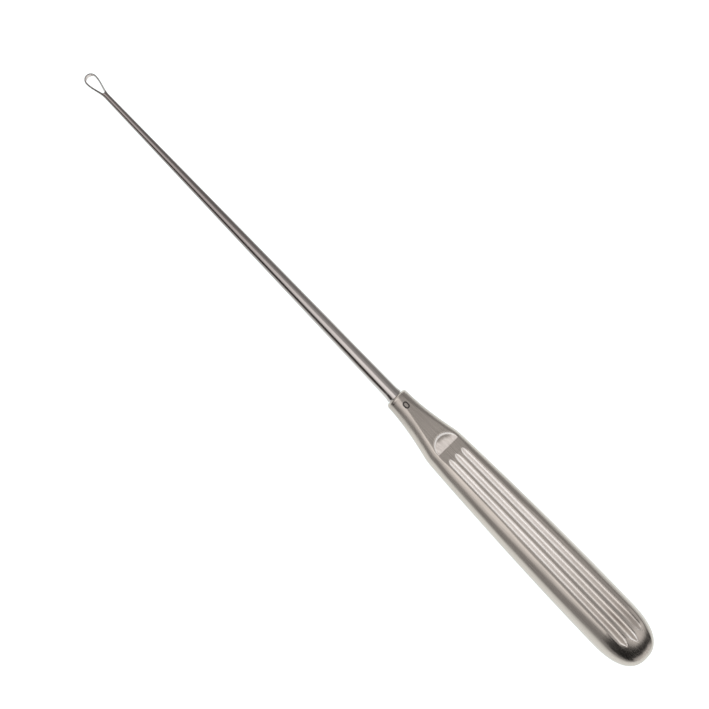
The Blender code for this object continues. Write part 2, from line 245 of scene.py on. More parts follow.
# The studio: the brightness of the sky and of each panel, with its ranges of angles in degrees, first
# across the tool from overhead towards +y and then along it from overhead towards the butt, and how
# softly those ranges end
SKY_LEVEL = 0.50
ALL_ROUND = (-200, 200)
STUDIO_PANELS = (
    (0.32, (-62, -26), ALL_ROUND, 6),
    (0.35, (-120, -58), ALL_ROUND, 6),
    (0.36, (62, 130), ALL_ROUND, 10),
    (0.95, (20, 61), (-60, 11), 8),
    (1.35, (5, 43), (-60, 5), 6),
    (0.92, (-52, -4), (6, 37), 5),
    (0.05, (-4, 114), (12.5, 42), 4),
    (0.02, (-90, 114), (34, 66), 4),
    (0.70, ALL_ROUND, (69, 100), 3),
    (0.90, (-150, -30), (60, 100), 4),
    (0.85, (-150, -56), (50, 66), 4),
    (0.85, ALL_ROUND, (-100, -58), 4),
)
CARD_FROM = (-0.012, 0.034, 0)
CARD_TO = (0.170, 0.034, 0.022)
CARD_COLOUR = (0.17, 0.155, 0.15)
FLOOR_SIZE = 6
FLOOR_COLOUR = (0.28, 0.28, 0.28)
FLOOR_GLOW = (0.93, 1.0, 1.0)
FLOOR_NEAR = (-0.055, -0.026)
FLOOR_NEAR_LEVELS = (0.45, 1.35)
FLOOR_FAR = (0.017, 0.060)
FLOOR_FAR_LEVELS = (0.92, 0.06)
FLOOR_NARROW_RUN = (-0.020, 0.005)
FLOOR_NARROW_SHARE = 3.5
FILL_LEVEL = 1.6
FILL_SIZE = 1.6
FILL_HEIGHT = 1.4

# The view, as the photograph shows the tool: rolled towards its own +y, and turned in the picture
VIEW_ROLL = math.radians(19)
PICTURE_TURN = math.radians(46.2)
PICTURE_WIDTH = 0.2542
PICTURE_CENTRE_X = 0.0061
CAMERA_DISTANCE = 1.0
SENSOR_WIDTH = 36.0


def lerp(start, end, share):
    return start + (end - start) * share


def soft_min(a, b, rounding):
    """The smaller of two values, with the corner between them rounded."""
    return (a + b - np.hypot(a - b, rounding)) / 2


def soft_max(a, b, rounding):
    return -soft_min(-a, -b, rounding)


def ease(share):
    return (1 - np.cos(np.pi * np.clip(share, 0, 1))) / 2


def smooth_step(low, high, value):
    share = np.clip((value - low) / (high - low), 0, 1)
    return share * share * (3 - 2 * share)


# The handle's form along its length, where u is the distance behind the front of its collar


def face_height(u):
    rise = (REAR_THICKNESS - FRONT_THICKNESS) / 2 / (DOME_START - THUMB_REST_EDGE)
    return FRONT_THICKNESS / 2 + (u - THUMB_REST_EDGE) * rise


def dome_share(u):
    """How much of its full section the handle keeps at u: all of it, up to the round butt."""
    along = np.clip((u - DOME_START) / BUTT_LENGTH, 0, 1)
    return (1 - along**BUTT_FULLNESS) ** (1 / BUTT_FULLNESS)


def along_flutes(u):
    return (u - FLUTE_START) / (DOME_START - FLUTE_START)


def flute_spacing(u):
    return lerp(FLUTE_SPACING_FRONT, FLUTE_SPACING_REAR, along_flutes(u))


def flute_edge(u):
    """Half the width of a flute."""
    return lerp(FLUTE_WIDTH_FRONT, FLUTE_WIDTH_REAR, along_flutes(u)) / 2


def fluted_flat(u):
    return (FLUTE_COUNT - 1) / 2 * flute_spacing(u) + flute_edge(u) + OUTER_LAND


def flute_share(u, lane):
    """How far a flute is open at u: it opens from a round end, and closes to a point on the butt."""
    end = FLUTE_END - FLUTE_END_STEP * abs(lane)
    opened = np.clip((u - FLUTE_START) / FLUTE_RUN_IN, 0, 1)
    closed = np.clip((end - u) / FLUTE_RUN_OUT, 0, 1)
    return np.sqrt(1 - (1 - opened) ** 2) * (1 - (1 - closed) ** FLUTE_POINT)


def body_section(u):
    """Half width, half thickness and half flat of the handle, without the rounding of its two ends."""
    collar = COLLAR_DIAMETER / 2
    neck = lerp(collar, SHOULDER_WIDTH / 2, (u / NECK_LENGTH) ** SIDE_CURVE)
    ahead = 1 - np.minimum((u - NECK_LENGTH) / (WIDEST_AT - NECK_LENGTH), 1)
    grip = lerp(GRIP_WIDTH / 2, SHOULDER_WIDTH / 2, ahead**SIDE_CURVE)
    round_flat = collar / ROUND_FLATNESS
    neck_flat = lerp(round_flat, fluted_flat(THUMB_REST_EDGE), u / THUMB_REST_EDGE)
    land = SHOULDER_LAND * np.exp(-(((u - THUMB_REST_EDGE) / SHOULDER_REACH) ** 2))
    land = land + lerp(*GRIP_LAND, smooth_step(*GRIP_LAND_RUN, u))
    return (
        soft_min(neck, grip, SHOULDER_ROUNDING),
        np.maximum(collar, face_height(u)),
        soft_min(neck_flat, fluted_flat(u) + land, SHOULDER_ROUNDING),
    )


# The handle's skin


def spaced(start, end, spacing):
    return np.linspace(start, end, math.ceil((end - start) / spacing) + 1)[:-1]


def grip_stations():
    """Places of the rings behind the collar's edge, closest at the thumb rest and the flutes' ends."""
    rest_front = THUMB_REST_EDGE - fluted_flat(THUMB_REST_EDGE) - REST_FRONT_ROOM
    return np.concatenate([
        spaced(COLLAR_EDGE_RADIUS, rest_front, NECK_SPACING),
        spaced(rest_front, THUMB_REST_EDGE, REST_SPACING),
        spaced(THUMB_REST_EDGE, FLUTE_START, PATCH_SPACING),
        FLUTE_START + FLUTE_RUN_IN * np.linspace(0, 1, TIP_RINGS)[:-1] ** TIP_CLOSENESS,
        spaced(FLUTE_START + FLUTE_RUN_IN, DOME_START, GRIP_SPACING),
        spaced(DOME_START, FLUTE_END + PAST_FLUTES, BUTT_SPACING),
    ])


def butt_stations():
    """The last stretch of the round butt, with rings that close up towards its end."""
    first = math.asin(((FLUTE_END + PAST_FLUTES - DOME_START) / BUTT_LENGTH) ** (BUTT_FULLNESS / 2))
    angles = np.linspace(first, math.pi / 2, BUTT_RINGS)[:-1]
    return DOME_START + BUTT_LENGTH * np.sin(angles) ** (2 / BUTT_FULLNESS)


def flute_lines(u):
    """Distances from the middle of a face to the lines that follow the edges of the flutes."""
    across = np.array(FLUTE_ACROSS)
    edge = flute_edge(u)[:, None]
    spacing = flute_spacing(u)[:, None]
    outer_across = np.concatenate([-across[:0:-1], across])
    middle = edge * across
    outer = spacing + edge * outer_across
    land = lerp(middle[:, -1:], outer[:, :1], np.linspace(0, 1, LAND_LINES + 2)[1:-1])
    flat = fluted_flat(u)[:, None] * dome_share(u)[:, None]
    flat = np.maximum(flat, outer[:, -1:] + OUTER_LAND / 2)
    lines_left = TOP_LINES + 1 - middle.shape[1] - land.shape[1] - outer.shape[1]
    rest = lerp(outer[:, -1:], flat, np.linspace(0, 1, lines_left + 1)[1:])
    return np.concatenate([middle, land, outer, rest], axis=1)


def outline(lines, half_width, half_thickness, half_flat, rounding=CREASE_RADIUS):
    """Points of a quarter of the handle's section: flat face, small rounded crease, round side."""
    overhang = half_width - half_flat
    radius = (overhang**2 + half_thickness**2) / (2 * overhang)
    centre = half_width - radius
    crease = np.arcsin(np.minimum((half_flat - centre) / radius, 1))
    reach = np.minimum(rounding * np.tan(crease / 2), half_flat / 2)
    start = crease + reach / radius
    flat_end = half_flat - reach
    side_y = centre + radius * np.sin(start)
    side_z = radius * np.cos(start)
    corner_y = side_y - (half_thickness - side_z) / np.tan(start)
    crease_length = side_y - flat_end
    end = flat_end + crease_length + radius * (math.pi / 2 - start)
    length = np.clip(lines, 0, end)
    t = np.clip((length - flat_end) / crease_length, 0, 1)
    bend_y = (1 - t) ** 2 * flat_end + 2 * t * (1 - t) * corner_y + t**2 * side_y
    bend_z = (1 - t**2) * half_thickness + t**2 * side_z
    angle = start + (length - flat_end - crease_length) / radius
    on_side = length > flat_end + crease_length
    y = np.where(length < flat_end, length, np.where(on_side, centre + radius * np.sin(angle), bend_y))
    z = np.where(on_side, radius * np.cos(angle), bend_z)
    return y, z, end


def recess_profile(distance, depth):
    """Depth at a distance inside a recess's edge: a leaning wall, rounded at its top and at its foot."""
    inside = distance / RECESS_WALL_LEAN
    return depth * soft_min(soft_max(inside, 0, RECESS_ROUNDING), 1, RECESS_ROUNDING)


def rim_highlight_line(distance, side):
    """The painted highlight inside a recess's edge: at the wall's foot, or along the wall on the +y side."""
    return np.exp(-(((distance - np.choose(side, RIM_HIGHLIGHT_INSIDE)) / np.choose(side, RIM_HIGHLIGHT_WIDTH)) ** 2))


def streak_run(u):
    """Where along a flute the middle of its floor is darker, towards the butt."""
    return smooth_step(STREAK_FROM, STREAK_FULL, u) * (1 - smooth_step(STREAK_FULL, STREAK_TO, u))


def recesses(u, y):
    """Depth below the face, and how far each point lies in a floor, under a rim's painted highlight, and
    on a dark streak.
    """
    depth = np.zeros_like(y)
    floor = np.zeros_like(y)
    rim_highlight = np.zeros_like(y)
    streak = np.zeros_like(y)
    for lane in range(-(FLUTE_COUNT // 2), FLUTE_COUNT // 2 + 1):
        share = np.maximum(flute_share(u, lane), FLUTE_OPENING[0])
        across = y - flute_spacing(u) * lane
        distance = (flute_edge(u) * share - np.abs(across)) / share
        opened = smooth_step(*FLUTE_OPENING, share)
        # On the -y lanes the pale floor and the rim's painted highlight fade towards the butt, as painted
        # shade
        highlight_fade = LANE_HIGHLIGHT_FADE_SHARE * smooth_step(*LANE_HIGHLIGHT_FADE_RUN, u) if lane < 0 else 0
        depth += recess_profile(distance, FLUTE_DEPTH * share) * opened
        on_floor = smooth_step(*FLOOR_BLEND, distance / RECESS_WALL_LEAN)
        floor = np.maximum(floor, on_floor * opened * (1 - highlight_fade))
        # The rim's painted highlight
        rim_highlight = np.maximum(rim_highlight, rim_highlight_line(distance, (across > 0).astype(int)) * opened * (1 - highlight_fade))
        middle = np.exp(-((across / flute_edge(u) / STREAK_WIDTH) ** 2))
        strength = np.maximum(STREAK_STRENGTH[abs(lane)] * streak_run(u), MIDDLE_LINE * opened)
        streak = np.maximum(streak, middle * strength)
    radius = fluted_flat(THUMB_REST_EDGE) - THUMB_REST_MARGIN
    ahead = THUMB_REST_EDGE - u
    distance = radius - np.hypot(ahead, y)
    ramp = THUMB_REST_DEPTH * np.maximum(ahead, 0) / radius
    steepness = THUMB_REST_DEPTH / REST_WALL_LEAN
    wall = soft_max(distance * steepness, 0, THUMB_REST_DEPTH * RECESS_ROUNDING)
    before_edge = ahead > -REST_EDGE_SLACK
    in_rest = before_edge & (distance > -REST_WALL_ROOM)
    hollowed = np.minimum(ramp, soft_min(ramp, wall, THUMB_REST_DEPTH * RECESS_ROUNDING / 2))
    depth += np.where(in_rest, hollowed, 0).clip(0)
    past_wall = distance - ramp / steepness
    # Painted shade on the front of the rest's floor near its wall, which keeps the lands' colour there
    facing = (ahead - REST_SHADE_LEAN * y) / np.maximum(np.hypot(ahead, y), SMALLEST_DIVISOR)
    darkened = (1 - smooth_step(*REST_FOOT, past_wall)) * smooth_step(*REST_SHADE, facing)
    pale = (1 - darkened) * smooth_step(*REST_FLOOR_BLEND, past_wall)
    floor = np.where(before_edge, np.maximum(floor, pale), floor)
    # A painted highlight along the thumb rest's wall, like the flutes' rims
    lit_wall = smooth_step(*REST_FLOOR_BLEND, -past_wall) * smooth_step(*REST_WALL_BLEND, distance)
    rim_highlight = np.maximum(rim_highlight, lit_wall * smooth_step(*REST_RIM_HIGHLIGHT_BLEND, ahead))
    return depth, floor, rim_highlight, streak


def skin_rings(u, sections):
    """Rings of points round a quarter of the handle's outside."""
    half_width, half_thickness, half_flat = (size[:, None] for size in sections)
    column = u[:, None]
    settled = smooth_step(0, CREASE_SETTLED, column)
    rounding = lerp(NECK_CREASE_RADIUS, CREASE_RADIUS, settled) * dome_share(column)
    _, _, end = outline(np.zeros((len(u), 1)), half_width, half_thickness, half_flat, rounding)
    split = soft_max(half_flat * SPLIT_PAST_FLAT, end / 2, SPLIT_ROUNDING)
    steps = np.linspace(0, 1, TOP_LINES + 1)
    even = split * steps
    before_end = 1 - smooth_step(FLUTE_END, HANDLE_LENGTH, column)
    fluted = smooth_step(THUMB_REST_EDGE, FLUTE_START, column) * before_end
    along_edges = flute_lines(u)
    top = lerp(even, along_edges * np.minimum(split / along_edges[:, -1:], 1), fluted)
    side = lerp(top[:, -1:], end, np.linspace(0, 1, SIDE_LINES + 1)[1:])
    lines = np.concatenate([top, side], axis=1)
    y, z, _ = outline(lines, half_width, half_thickness, half_flat, rounding)
    depth = recesses(column, y)[0]
    dish = FLUTED_FACE_DISH * smooth_step(FLUTE_START, FLUTE_START + FLUTE_RUN_IN, column)
    crown = BUTT_CROWN * smooth_step(BUTT_CROWN_FROM, HANDLE_LENGTH, column)
    towards_edge = np.minimum(y / half_flat, 1) ** 2
    return y, z * (1 - crown * towards_edge) - depth - dish * (1 - towards_edge)


def whole_ring(quarter, sign_y=1, sign_z=1):
    """Mirrors a quarter's values round the whole section."""
    right = np.concatenate([quarter, sign_z * quarter[:, -2::-1]], axis=1)
    left = sign_y * right[:, ::-1]
    return np.concatenate([right, left[:, 1:-1]], axis=1)


def handle_rings():
    """The handle's rings: those of the grip, of the collar's edge, and of the bore and the hollow."""
    u_grip = np.concatenate([grip_stations(), butt_stations()])
    share = dome_share(u_grip)
    full = body_section(np.minimum(u_grip, DOME_START))
    outside = [u_grip, [size * share for size in full]]
    angles = np.linspace(0, math.pi / 2, EDGE_RINGS)[:-1]
    u_collar = COLLAR_EDGE_RADIUS * (1 - np.cos(angles))
    inset = COLLAR_EDGE_RADIUS * (1 - np.sin(angles))
    width, thickness, flat = body_section(u_collar)
    collar = [u_collar, [width - inset, thickness - inset, flat]]
    bore = TANG_DIAMETER / 2 + SEAT_GAP
    bore_flat = bore / ROUND_FLATNESS
    u_bore = np.array([BORE_LIP, BORE_STRAIGHT_FROM, BORE_DEPTH])
    lip = np.array([BORE_LIP, 0, 0])
    bored = [u_bore, [bore + lip, bore + lip, np.full_like(u_bore, bore_flat)]]
    u_hollow = np.concatenate([
        np.linspace(BORE_DEPTH, BORE_DEPTH + HOLLOW_RUN_IN, HOLLOW_RINGS)[1:],
        np.linspace(BORE_DEPTH + HOLLOW_RUN_IN, DOME_START, HOLLOW_RINGS)[1:],
    ])
    under = WALL + max(FLUTE_DEPTH, THUMB_REST_DEPTH)
    width, thickness, flat = body_section(u_hollow)
    opened = ease((u_hollow - BORE_DEPTH) / HOLLOW_RUN_IN)
    inner = [width - SIDE_WALL, thickness - under, flat - WALL]
    hollow = [u_hollow, [lerp(*ends, opened) for ends in zip((bore, bore, bore_flat), inner)]]
    angles = np.linspace(0, math.pi / 2, EDGE_RINGS)[1:-1]
    closing = np.cos(angles) ** (2 / BUTT_FULLNESS)
    u_end = DOME_START + (BUTT_LENGTH - 2 * WALL) * np.sin(angles) ** (2 / BUTT_FULLNESS)
    ended = [u_end, [size[-1] * closing for size in hollow[1]]]
    return outside, collar, [bored, hollow, ended]


def face_outwards(mesh):
    shell = bmesh.new()
    shell.from_mesh(mesh)
    bmesh.ops.recalc_face_normals(shell, faces=shell.faces)
    shell.to_mesh(mesh)
    shell.free()


def mesh_from_rings(name, rings, first_pole, last_pole, masks):
    """A closed mesh through rings of points, with a pole at each end and a named value for each mask."""
    count, around, _ = rings.shape
    points = np.concatenate([rings.reshape(-1, 3), [first_pole, last_pole]])
    row = np.arange(around)
    following = (row + 1) % around
    start = (np.arange(count - 1) * around)[:, None]
    quads = np.stack([start + row, start + around + row, start + around + following, start + following], -1)
    last = (count - 1) * around
    pole = np.full(around, count * around)
    first_fan = np.stack([row, following, pole], -1)
    last_fan = np.stack([last + following, last + row, pole + 1], -1)
    faces = quads.reshape(-1, 4).tolist() + first_fan.tolist() + last_fan.tolist()
    mesh = bpy.data.meshes.new(name)
    mesh.from_pydata(points.tolist(), [], faces)
    for mask, values in masks.items():
        attribute = mesh.attributes.new(mask, "FLOAT", "POINT")
        attribute.data.foreach_set("value", np.concatenate([values.ravel(), [0, 0]]).astype(np.float32))
    mesh.validate()
    face_outwards(mesh)
    mesh.shade_smooth()
    return mesh


def handle_mesh():
    grip, collar, inner = handle_rings()
    grip_values = [values[::-1] for values in skin_rings(grip[0], grip[1])]
    places = [grip[0][::-1]]
    quarters = [grip_values]
    for u, sections in [[collar[0][::-1], [size[::-1] for size in collar[1]]], *inner]:
        half_width, half_thickness, half_flat = (size[:, None] for size in sections)
        _, _, end = outline(np.zeros((len(u), 1)), half_width, half_thickness, half_flat)
        lines = end * np.linspace(0, 1, TOP_LINES + SIDE_LINES + 1)
        y, z, _ = outline(lines, half_width, half_thickness, half_flat)
        places.append(u)
        quarters.append([y, z])
    u = np.concatenate(places)
    y, z = (np.concatenate(parts) for parts in zip(*quarters))
    ring_y = whole_ring(y, sign_y=-1)
    ring_z = whole_ring(z, sign_z=-1)
    ring_x = np.broadcast_to(COLLAR_X - u[:, None], ring_y.shape)
    # Painted shade towards the butt: on the flutes' floors, and apart from the flutes' tips, on the rims'
    # highlights and on the lands. The neck's lands get painted shade too.
    shade = smooth_step(*SHADE_RUN, u)[:, None]
    outside = (np.arange(len(u)) < len(grip[0]))[:, None]
    rear_shade = shade * (1 - smooth_step(*TIP_RUN, u)[:, None])
    neck_shade = NECK_SHADE * (1 - smooth_step(*NECK_SHADE_RUN, u)[:, None])
    on_flat = 1 - smooth_step(*FLAT_EDGE, np.abs(ring_y) / fluted_flat(u)[:, None])
    land_shade = np.maximum(rear_shade, neck_shade) * on_flat
    values = [*recesses(u[:, None], ring_y)[1:], shade, rear_shade, land_shade]
    names = ("recess", "rim_highlight", "streak", "shade", "rim_shade", "land_shade")
    masks = {name: np.broadcast_to(value * outside, ring_y.shape) for name, value in zip(names, values)}
    inner_end = DOME_START + BUTT_LENGTH - 2 * WALL
    first_pole = (COLLAR_X - HANDLE_LENGTH, 0, 0)
    last_pole = (COLLAR_X - inner_end, 0, 0)
    rings = np.stack([ring_x, ring_y, ring_z], -1)
    return mesh_from_rings("curette_handle", rings, first_pole, last_pole, masks)


# The shaft and the loop, where d is the distance behind the tip of the loop


def loop_half_width(d):
    """The loop's outline: round at the tip, then drawn in smoothly to the shaft."""
    radius = LOOP_WIDTH / 2
    nose = np.sqrt(np.maximum(radius**2 - (radius - d) ** 2, 0))
    drawn = lerp(radius, SHAFT_TIP_DIAMETER / 2, ease((d - radius) / (LOOP_LENGTH - radius)))
    return np.where(d < radius, nose, drawn)


def loop_half_thickness(d):
    radius = LOOP_WIDTH / 2
    nose = LOOP_THICKNESS / 2 * np.sqrt(np.maximum(1 - (1 - d / radius) ** 2, 0))
    drawn = lerp(LOOP_THICKNESS / 2, SHAFT_TIP_DIAMETER / 2, ease((d - radius) / (LOOP_LENGTH - radius)))
    return np.where(d < radius, nose, drawn)


def shaft_mesh():
    """The loop's blank, the taper, the braze at the handle, and the tang that goes into it."""
    radius = LOOP_WIDTH / 2
    nose = radius * (1 - np.cos(np.linspace(0, math.pi / 2, LOOP_STEPS // 2)[1:]))
    drawn = np.linspace(radius, LOOP_LENGTH, LOOP_STEPS)[1:]
    d_loop = np.concatenate([nose, drawn])
    d_root = TIP_X - COLLAR_X - SEAT_GAP
    d_taper = np.linspace(LOOP_LENGTH, d_root - BRAZE_LENGTH, TAPER_RINGS)[1:]
    tapered = (d_taper - LOOP_LENGTH) / (d_taper[-1] - LOOP_LENGTH)
    r_taper = lerp(SHAFT_TIP_DIAMETER, SHAFT_ROOT_DIAMETER, tapered) / 2
    share = np.linspace(0, 1, BRAZE_RINGS)[1:]
    d_braze = d_root - BRAZE_LENGTH * (1 - share)
    r_braze = SHAFT_ROOT_DIAMETER / 2 + BRAZE_WIDTH * (1 - np.cos(math.pi / 2 * share))
    d_tang = np.array([d_root, TIP_X - COLLAR_X + BORE_DEPTH - SEAT_GAP])
    r_tang = np.full(2, TANG_DIAMETER / 2)
    d = np.concatenate([d_loop, d_taper, d_braze, d_tang])
    half_width = np.concatenate([loop_half_width(d_loop), r_taper, r_braze, r_tang])[:, None]
    half_thickness = np.concatenate([loop_half_thickness(d_loop), r_taper, r_braze, r_tang])[:, None]
    angles = 2 * math.pi * np.arange(SHAFT_SIDES) / SHAFT_SIDES
    y = half_width * np.cos(angles)
    z = half_thickness * np.sin(angles)
    x = np.broadcast_to(TIP_X - d[:, None], y.shape)
    last_pole = (TIP_X - d[-1], 0, 0)
    return mesh_from_rings("curette_shaft", np.stack([x, y, z], -1), (TIP_X, 0, 0), last_pole, {})


def hole_outline(tip_land):
    """Outline of the loop's hole: the loop's own, drawn in by the strip, with a round end at the shaft."""
    radius = LOOP_WIDTH / 2
    end = LOOP_LENGTH - LOOP_HOLE_END
    rounding = loop_half_width(end) - LOOP_STRIP
    last = end - rounding
    front = np.linspace(0, math.pi / 2, LOOP_STEPS // 2)[:-1]
    back = np.linspace(0, math.pi / 2, HOLE_END_STEPS)
    middle = np.linspace(radius, last, LOOP_STEPS)[:-1]
    d = np.concatenate([radius - (radius - tip_land) * np.cos(front), middle, last + rounding * np.sin(back)])
    y = np.concatenate([
        (radius - LOOP_STRIP) * np.sin(front),
        loop_half_width(middle) - LOOP_STRIP,
        (loop_half_width(last) - LOOP_STRIP) * np.cos(back),
    ])
    return np.concatenate([d, d[-2:0:-1]]), np.concatenate([y, -y[-2:0:-1]])


def hole_mesh():
    """The loop's hole, whose wall leans in at the tip to leave a ground edge there."""
    reach = LOOP_THICKNESS
    lean = LOOP_THICKNESS * GROUND_EDGE_SHARE
    rings = []
    for z, land in ((-reach, LOOP_TIP_LAND), (-lean, LOOP_TIP_LAND), (lean, LOOP_STRIP), (reach, LOOP_STRIP)):
        d, y = hole_outline(land)
        rings.append(np.stack([TIP_X - d, y, np.full_like(d, z)], -1))
    middle_x = TIP_X - LOOP_WIDTH / 2
    return mesh_from_rings("loop_hole", np.stack(rings), (middle_x, 0, -reach), (middle_x, 0, reach), {})


# Placing the pieces in the frame


def tool_matrix():
    """Where the tool's own frame lies in the CAD model, from the tip of the loop and the back of the tang."""
    points = [vertex.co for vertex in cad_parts["loop_shaft"].data.vertices]
    tip = max(points, key=lambda point: point.x)
    back = min(point.x for point in points)
    ring = [point for point in points if point.x < back + TANG_END_REACH]
    tang_x = (back + max(point.x for point in ring)) / 2
    tang_z = (min(point.z for point in ring) + max(point.z for point in ring)) / 2
    turn = Matrix.Rotation(math.atan2(tang_z - tip.z, tip.x - tang_x), 4, "Y")
    return Matrix.Translation(tip - turn @ Vector((TIP_X, 0, 0))) @ turn


TOOL = tool_matrix()


def place(name, mesh, material, node, slot):
    mesh.transform(TOOL)
    piece = bpy.data.objects.new(name, mesh)
    bpy.context.scene.collection.objects.link(piece)
    mesh.materials.clear()
    mesh.materials.append(material)
    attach(piece, "root")
    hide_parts(node)


def make_handle():
    place("curette_handle", handle_mesh(), satin_steel(), "hollow_handle", "satin_steel")


def make_shaft():
    blank = bpy.data.objects.new("shaft_blank", shaft_mesh())
    cutter = bpy.data.objects.new("loop_hole", hole_mesh())
    for item in (blank, cutter):
        bpy.context.scene.collection.objects.link(item)
    cut = blank.modifiers.new("loop_hole", "BOOLEAN")
    cut.operation = "DIFFERENCE"
    cut.solver = "EXACT"
    cut.object = cutter
    evaluated = blank.evaluated_get(bpy.context.evaluated_depsgraph_get())
    mesh = bpy.data.meshes.new_from_object(evaluated)
    mesh.name = "curette_shaft"
    bpy.data.objects.remove(blank)
    bpy.data.objects.remove(cutter)
    mesh.shade_smooth()
    mesh.set_sharp_from_angle(angle=SHARP_ANGLE)
    mark_bevel(mesh)
    place("curette_shaft", mesh, bright_steel(), "loop_shaft", "bright_steel")


def mark_bevel(mesh):
    """Marks the faces of the ground edge inside the loop's tip, which carry a painted highlight."""
    bevel_highlight = mesh.attributes.new("bevel_highlight", "FLOAT", "FACE")
    radius = LOOP_WIDTH / 2
    low, high = GROUND_EDGE_LEAN
    for face in mesh.polygons:
        centre = face.center
        from_middle = math.hypot(centre.x - (TIP_X - radius), centre.y)
        in_tip = from_middle < radius - LOOP_STRIP and centre.x > TIP_X - radius
        leans_in = low < face.normal.z < high and face.normal.x < 0
        bevel_highlight.data[face.index].value = in_tip and leans_in


# Finishes


def add_math(tree, operation, *values):
    """A Math node's result, where each value is a number or another node's output."""
    node = tree.nodes.new("ShaderNodeMath")
    node.operation = operation
    for socket, value in zip(node.inputs, values):
        if isinstance(value, bpy.types.NodeSocket):
            tree.links.new(value, socket)
        else:
            socket.default_value = value
    return node.outputs[0]


def add_map(tree, value, low, high, to_low=0.0, to_high=1.0):
    """Turns the range low to high smoothly into another range."""
    node = tree.nodes.new("ShaderNodeMapRange")
    node.interpolation_type = "SMOOTHSTEP"
    tree.links.new(value, node.inputs["Value"])
    for name, number in (("From Min", low), ("From Max", high), ("To Min", to_low), ("To Max", to_high)):
        node.inputs[name].default_value = number
    return node.outputs["Result"]


def add_mix(tree, share, first, second):
    """A mix of two colours by a share."""
    node = tree.nodes.new("ShaderNodeMix")
    node.data_type = "RGBA"
    tree.links.new(share, node.inputs["Factor"])
    for number, value in zip(MIX_COLOURS, (first, second)):
        if isinstance(value, bpy.types.NodeSocket):
            tree.links.new(value, node.inputs[number])
        else:
            node.inputs[number].default_value = (*value, 1)
    return node.outputs[MIX_RESULT]


def add_noise(tree, place, scale, detail):
    """Noise drawn out or pressed together along the tool's axes by a scale, in cycles a metre."""
    stretch = tree.nodes.new("ShaderNodeVectorMath")
    stretch.operation = "MULTIPLY"
    stretch.inputs[1].default_value = scale
    tree.links.new(place, stretch.inputs[0])
    node = tree.nodes.new("ShaderNodeTexNoise")
    node.inputs["Scale"].default_value = 1
    node.inputs["Detail"].default_value = detail
    tree.links.new(stretch.outputs[0], node.inputs["Vector"])
    return node.outputs["Fac"]


def add_mask(tree, name):
    node = tree.nodes.new("ShaderNodeAttribute")
    node.attribute_name = name
    return node.outputs["Fac"]


def add_tool_place(tree):
    """Each point's place in the tool's own frame."""
    coordinates = tree.nodes.new("ShaderNodeTexCoord")
    mapping = tree.nodes.new("ShaderNodeMapping")
    back = TOOL.inverted()
    mapping.inputs["Location"].default_value = back.translation
    mapping.inputs["Rotation"].default_value = back.to_euler()
    tree.links.new(coordinates.outputs["Object"], mapping.inputs["Vector"])
    return mapping.outputs["Vector"]


def new_steel(name):
    """A material with the brushing, the grain and the wear that both pieces of the tool carry."""
    material = bpy.data.materials.new(name)
    material.use_nodes = True
    tree = material.node_tree
    shader = tree.nodes["Principled BSDF"]
    place = add_tool_place(tree)
    brushing = add_noise(tree, place, BRUSHING, BRUSHING_DETAIL)
    grain = add_noise(tree, place, GRAIN, GRAIN_DETAIL)
    wear = add_map(tree, add_noise(tree, place, WEAR, WEAR_DETAIL), *WEAR_RANGE)
    bump = tree.nodes.new("ShaderNodeBump")
    bump.inputs["Strength"].default_value = BUMP_STRENGTH
    bump.inputs["Distance"].default_value = BUMP_HEIGHT
    tree.links.new(add_math(tree, "ADD", brushing, grain), bump.inputs["Height"])
    tree.links.new(bump.outputs["Normal"], shader.inputs["Normal"])
    return material, tree, shader, place, brushing, wear


def satin_steel():
    """The handle: brushed along its length, matt and pale in its recesses, with painted highlights on
    their rims, and painted shade towards the butt and on the neck.
    """
    material, tree, shader, place, brushing, wear = new_steel("satin_steel")
    recess = add_mask(tree, "recess")
    # The rims carry a painted highlight, and are matt as well
    rim_highlight = add_mask(tree, "rim_highlight")
    mark = size_mark(tree, place)
    matt = add_math(tree, "MAXIMUM", recess, rim_highlight)
    streaks = add_map(tree, brushing, *BRUSHING_RANGE)
    land = add_mix(tree, streaks, LAND_DARK, LAND_PALE)
    # Painted shade on the lands towards the butt and on the neck
    land = add_mix(tree, add_mask(tree, "land_shade"), land, SHADED_LAND)
    floor = add_mix(tree, streaks, RECESS_DARK, RECESS_PALE)
    # Painted shade on the flutes' floors towards the butt
    shade = add_mask(tree, "shade")
    floor = add_mix(tree, shade, floor, SHADED_RECESS)
    # The rims' painted highlight, dimmed by painted shade towards the butt
    edge = add_mix(tree, add_mask(tree, "rim_shade"), RIM_HIGHLIGHT_COLOUR, SHADED_RIM_HIGHLIGHT)
    colour = add_mix(tree, recess, land, floor)
    colour = add_mix(tree, rim_highlight, colour, edge)
    colour = add_mix(tree, add_mask(tree, "streak"), colour, STREAK_COLOUR)
    tree.links.new(add_mix(tree, mark, colour, MARK_COLOUR), shader.inputs["Base Color"])
    polish = add_math(tree, "MULTIPLY_ADD", recess, MATT_METALLIC - 1, 1)
    polish = add_math(tree, "MAXIMUM", add_math(tree, "SUBTRACT", polish, rim_highlight), 0)
    metallic = add_math(tree, "MULTIPLY", polish, add_math(tree, "SUBTRACT", 1, mark))
    tree.links.new(metallic, shader.inputs["Metallic"])
    axes = tree.nodes.new("ShaderNodeSeparateXYZ")
    tree.links.new(place, axes.inputs[0])
    neck_run = (COLLAR_X - FLUTE_START, COLLAR_X - NECK_LENGTH / 2)
    satin = add_map(tree, axes.outputs["X"], *neck_run, SATIN_ROUGHNESS, NECK_ROUGHNESS)
    polished = add_math(tree, "MULTIPLY_ADD", wear, WEAR_ROUGHNESS, satin)
    rough = add_math(tree, "MULTIPLY_ADD", matt, MATT_ROUGHNESS - SATIN_ROUGHNESS, polished)
    rough = add_math(tree, "MULTIPLY_ADD", streaks, BRUSHING_ROUGHNESS, rough)
    tree.links.new(rough, shader.inputs["Roughness"])
    return material


